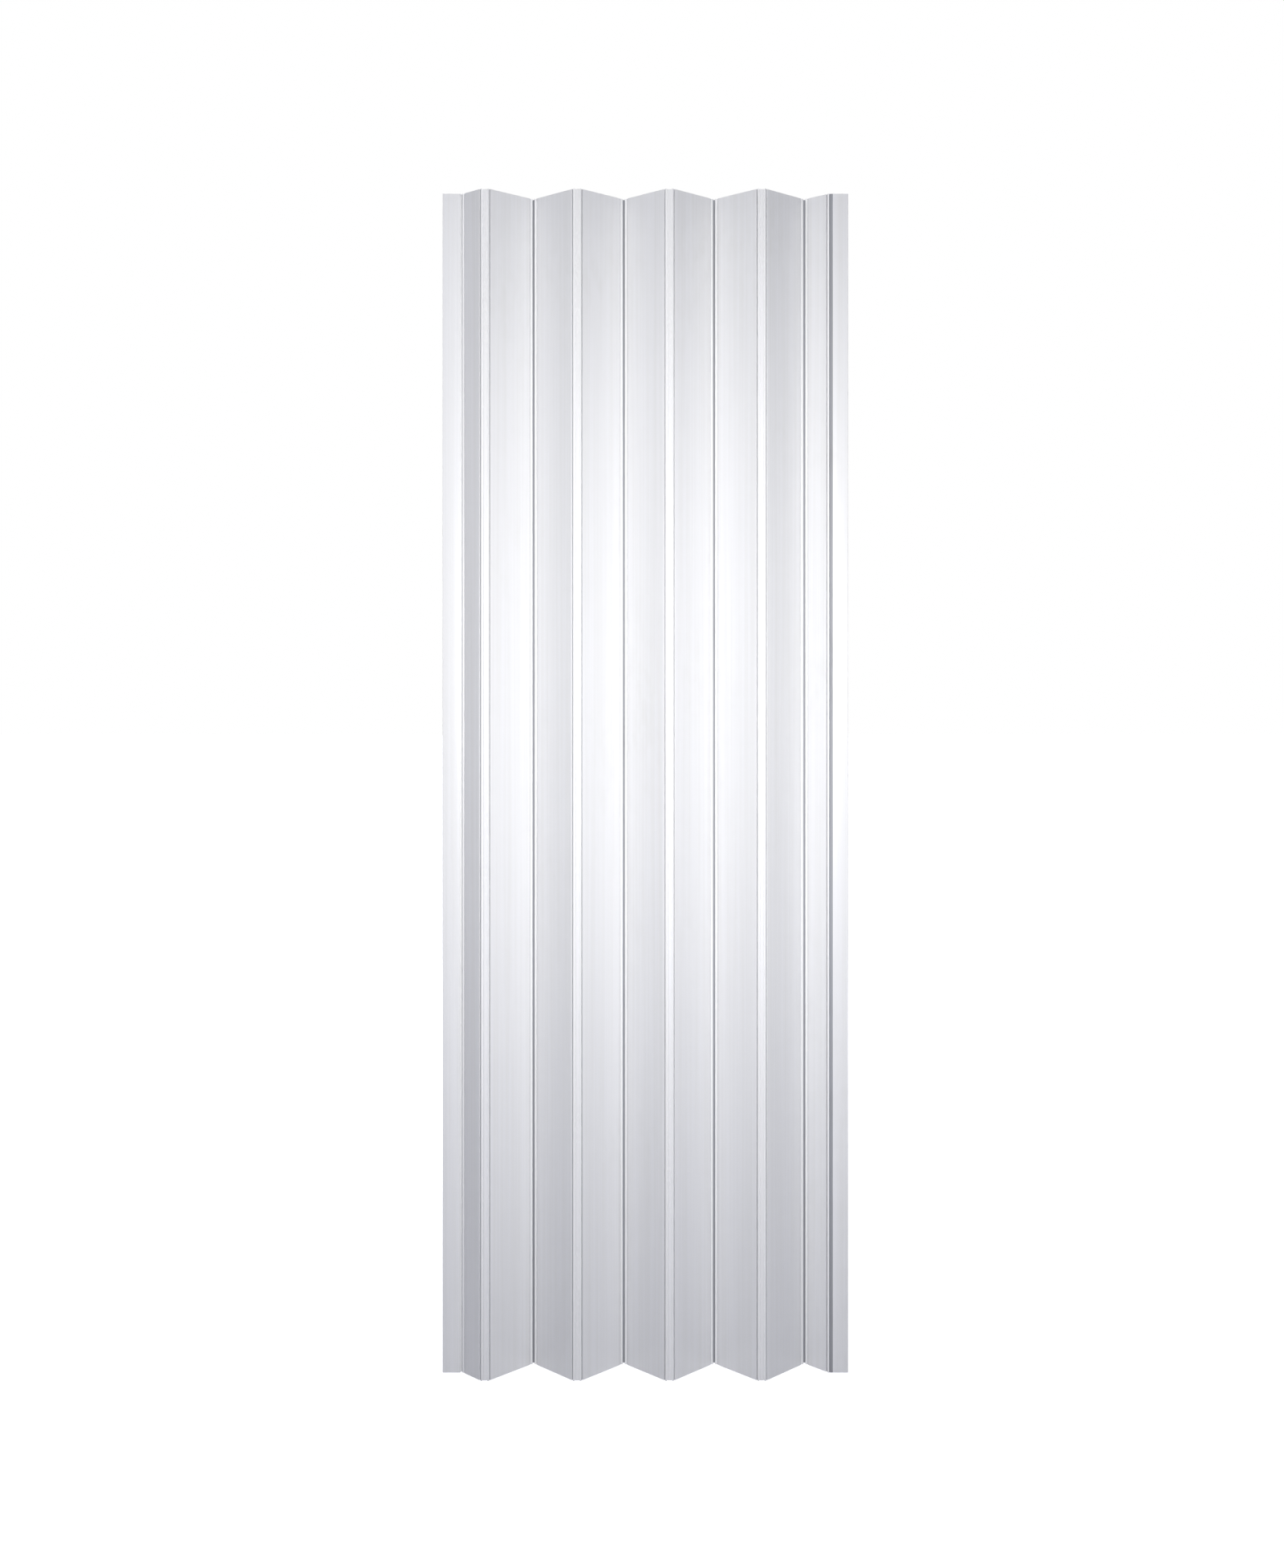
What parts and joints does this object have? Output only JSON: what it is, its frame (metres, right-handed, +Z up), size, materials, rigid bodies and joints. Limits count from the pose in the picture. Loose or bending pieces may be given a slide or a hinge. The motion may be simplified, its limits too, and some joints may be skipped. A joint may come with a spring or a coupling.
{
  "type": "accordion door",
  "caption": "Folding accordion door of hollow vinyl slats on hinge links, between a wall strip and a magnetic lead stile.",
  "frame": {"origin": "on the wall strip's face that lies against the wall, at mid-height, in line with the hanging track", "axes": "+X across the opening, away from the wall; +Y away from the viewer; +Z up"},
  "size_m": [0.6881, 0.0734, 2],
  "materials": {
    "white_vinyl": "fine-grained satin PVC extrusion",
    "link_vinyl": "smooth PVC extrusion",
    "nylon": "natural moulded nylon",
    "magnet_rubber": "matt magnet-filled strip"
  },
  "bodies": {
    "wall_strip": {"jamb_strip": "white_vinyl"},
    "half_slat_wall": {"half_slat_wall": "white_vinyl"},
    "link_1": {"link_1": "link_vinyl"},
    "slat_1": {"slat_1": "white_vinyl", "glide_anchor_1": "nylon"},
    "link_2": {"link_2": "link_vinyl"},
    "slat_2": {"slat_2": "white_vinyl", "glide_anchor_2": "nylon"},
    "link_3": {"link_3": "link_vinyl"},
    "slat_3": {"slat_3": "white_vinyl", "glide_anchor_3": "nylon"},
    "link_4": {"link_4": "link_vinyl"},
    "slat_4": {"slat_4": "white_vinyl", "glide_anchor_4": "nylon"},
    "link_5": {"link_5": "link_vinyl"},
    "slat_5": {"slat_5": "white_vinyl", "glide_anchor_5": "nylon"},
    "link_6": {"link_6": "link_vinyl"},
    "slat_6": {"slat_6": "white_vinyl", "glide_anchor_6": "nylon"},
    "link_7": {"link_7": "link_vinyl"},
    "slat_7": {"slat_7": "white_vinyl", "glide_anchor_7": "nylon"},
    "link_8": {"link_8": "link_vinyl"},
    "half_slat_lead": {"half_slat_lead": "white_vinyl"},
    "lead_stile": {"lead_stile": "white_vinyl", "lead_magnet": "magnet_rubber", "glide_anchor_lead": "nylon"}
  },
  "joints": [
    {"name": "fold", "type": "hinge", "parent": "wall_strip", "child": "half_slat_wall", "pos_m": [0.0358, 0, 0], "axis": [0, 0, -1], "range_deg": [-34.5, 40.5]},
    {"name": "link_1_pivot", "type": "hinge", "parent": "half_slat_wall", "child": "link_1", "pos_m": [0.07014, -0.03375, 0], "axis": [0, 0, 1], "range_deg": [-34.5, 40.5]},
    {"name": "slat_1_pivot", "type": "hinge", "parent": "link_1", "child": "slat_1", "pos_m": [0.07894, -0.03375, 0], "axis": [0, 0, 1], "range_deg": [-34.5, 40.5]},
    {"name": "link_2_pivot", "type": "hinge", "parent": "slat_1", "child": "link_2", "pos_m": [0.14763, 0.03375, 0], "axis": [0, 0, -1], "range_deg": [-34.5, 40.5]},
    {"name": "slat_2_pivot", "type": "hinge", "parent": "link_2", "child": "slat_2", "pos_m": [0.15643, 0.03375, 0], "axis": [0, 0, -1], "range_deg": [-34.5, 40.5]},
    {"name": "link_3_pivot", "type": "hinge", "parent": "slat_2", "child": "link_3", "pos_m": [0.22512, -0.03375, 0], "axis": [0, 0, 1], "range_deg": [-34.5, 40.5]},
    {"name": "slat_3_pivot", "type": "hinge", "parent": "link_3", "child": "slat_3", "pos_m": [0.23392, -0.03375, 0], "axis": [0, 0, 1], "range_deg": [-34.5, 40.5]},
    {"name": "link_4_pivot", "type": "hinge", "parent": "slat_3", "child": "link_4", "pos_m": [0.3026, 0.03375, 0], "axis": [0, 0, -1], "range_deg": [-34.5, 40.5]},
    {"name": "slat_4_pivot", "type": "hinge", "parent": "link_4", "child": "slat_4", "pos_m": [0.3114, 0.03375, 0], "axis": [0, 0, -1], "range_deg": [-34.5, 40.5]},
    {"name": "link_5_pivot", "type": "hinge", "parent": "slat_4", "child": "link_5", "pos_m": [0.38009, -0.03375, 0], "axis": [0, 0, 1], "range_deg": [-34.5, 40.5]},
    {"name": "slat_5_pivot", "type": "hinge", "parent": "link_5", "child": "slat_5", "pos_m": [0.38889, -0.03375, 0], "axis": [0, 0, 1], "range_deg": [-34.5, 40.5]},
    {"name": "link_6_pivot", "type": "hinge", "parent": "slat_5", "child": "link_6", "pos_m": [0.45757, 0.03375, 0], "axis": [0, 0, -1], "range_deg": [-34.5, 40.5]},
    {"name": "slat_6_pivot", "type": "hinge", "parent": "link_6", "child": "slat_6", "pos_m": [0.46637, 0.03375, 0], "axis": [0, 0, -1], "range_deg": [-34.5, 40.5]},
    {"name": "link_7_pivot", "type": "hinge", "parent": "slat_6", "child": "link_7", "pos_m": [0.53506, -0.03375, 0], "axis": [0, 0, 1], "range_deg": [-34.5, 40.5]},
    {"name": "slat_7_pivot", "type": "hinge", "parent": "link_7", "child": "slat_7", "pos_m": [0.54386, -0.03375, 0], "axis": [0, 0, 1], "range_deg": [-34.5, 40.5]},
    {"name": "link_8_pivot", "type": "hinge", "parent": "slat_7", "child": "link_8", "pos_m": [0.61255, 0.03375, 0], "axis": [0, 0, -1], "range_deg": [-34.5, 40.5]},
    {"name": "half_slat_lead_pivot", "type": "hinge", "parent": "link_8", "child": "half_slat_lead", "pos_m": [0.62135, 0.03375, 0], "axis": [0, 0, -1], "range_deg": [-34.5, 40.5]},
    {"name": "lead_stile_pivot", "type": "hinge", "parent": "half_slat_lead", "child": "lead_stile", "pos_m": [0.65569, 0, 0], "axis": [0, 0, 1], "range_deg": [-34.5, 40.5]}
  ],
  "couplings": [
    {"joint": "link_1_pivot", "follows": "fold", "ratio": 1},
    {"joint": "slat_1_pivot", "follows": "fold", "ratio": 1},
    {"joint": "link_2_pivot", "follows": "fold", "ratio": 1},
    {"joint": "slat_2_pivot", "follows": "fold", "ratio": 1},
    {"joint": "link_3_pivot", "follows": "fold", "ratio": 1},
    {"joint": "slat_3_pivot", "follows": "fold", "ratio": 1},
    {"joint": "link_4_pivot", "follows": "fold", "ratio": 1},
    {"joint": "slat_4_pivot", "follows": "fold", "ratio": 1},
    {"joint": "link_5_pivot", "follows": "fold", "ratio": 1},
    {"joint": "slat_5_pivot", "follows": "fold", "ratio": 1},
    {"joint": "link_6_pivot", "follows": "fold", "ratio": 1},
    {"joint": "slat_6_pivot", "follows": "fold", "ratio": 1},
    {"joint": "link_7_pivot", "follows": "fold", "ratio": 1},
    {"joint": "slat_7_pivot", "follows": "fold", "ratio": 1},
    {"joint": "link_8_pivot", "follows": "fold", "ratio": 1},
    {"joint": "half_slat_lead_pivot", "follows": "fold", "ratio": 1},
    {"joint": "lead_stile_pivot", "follows": "fold", "ratio": 1}
  ]
}
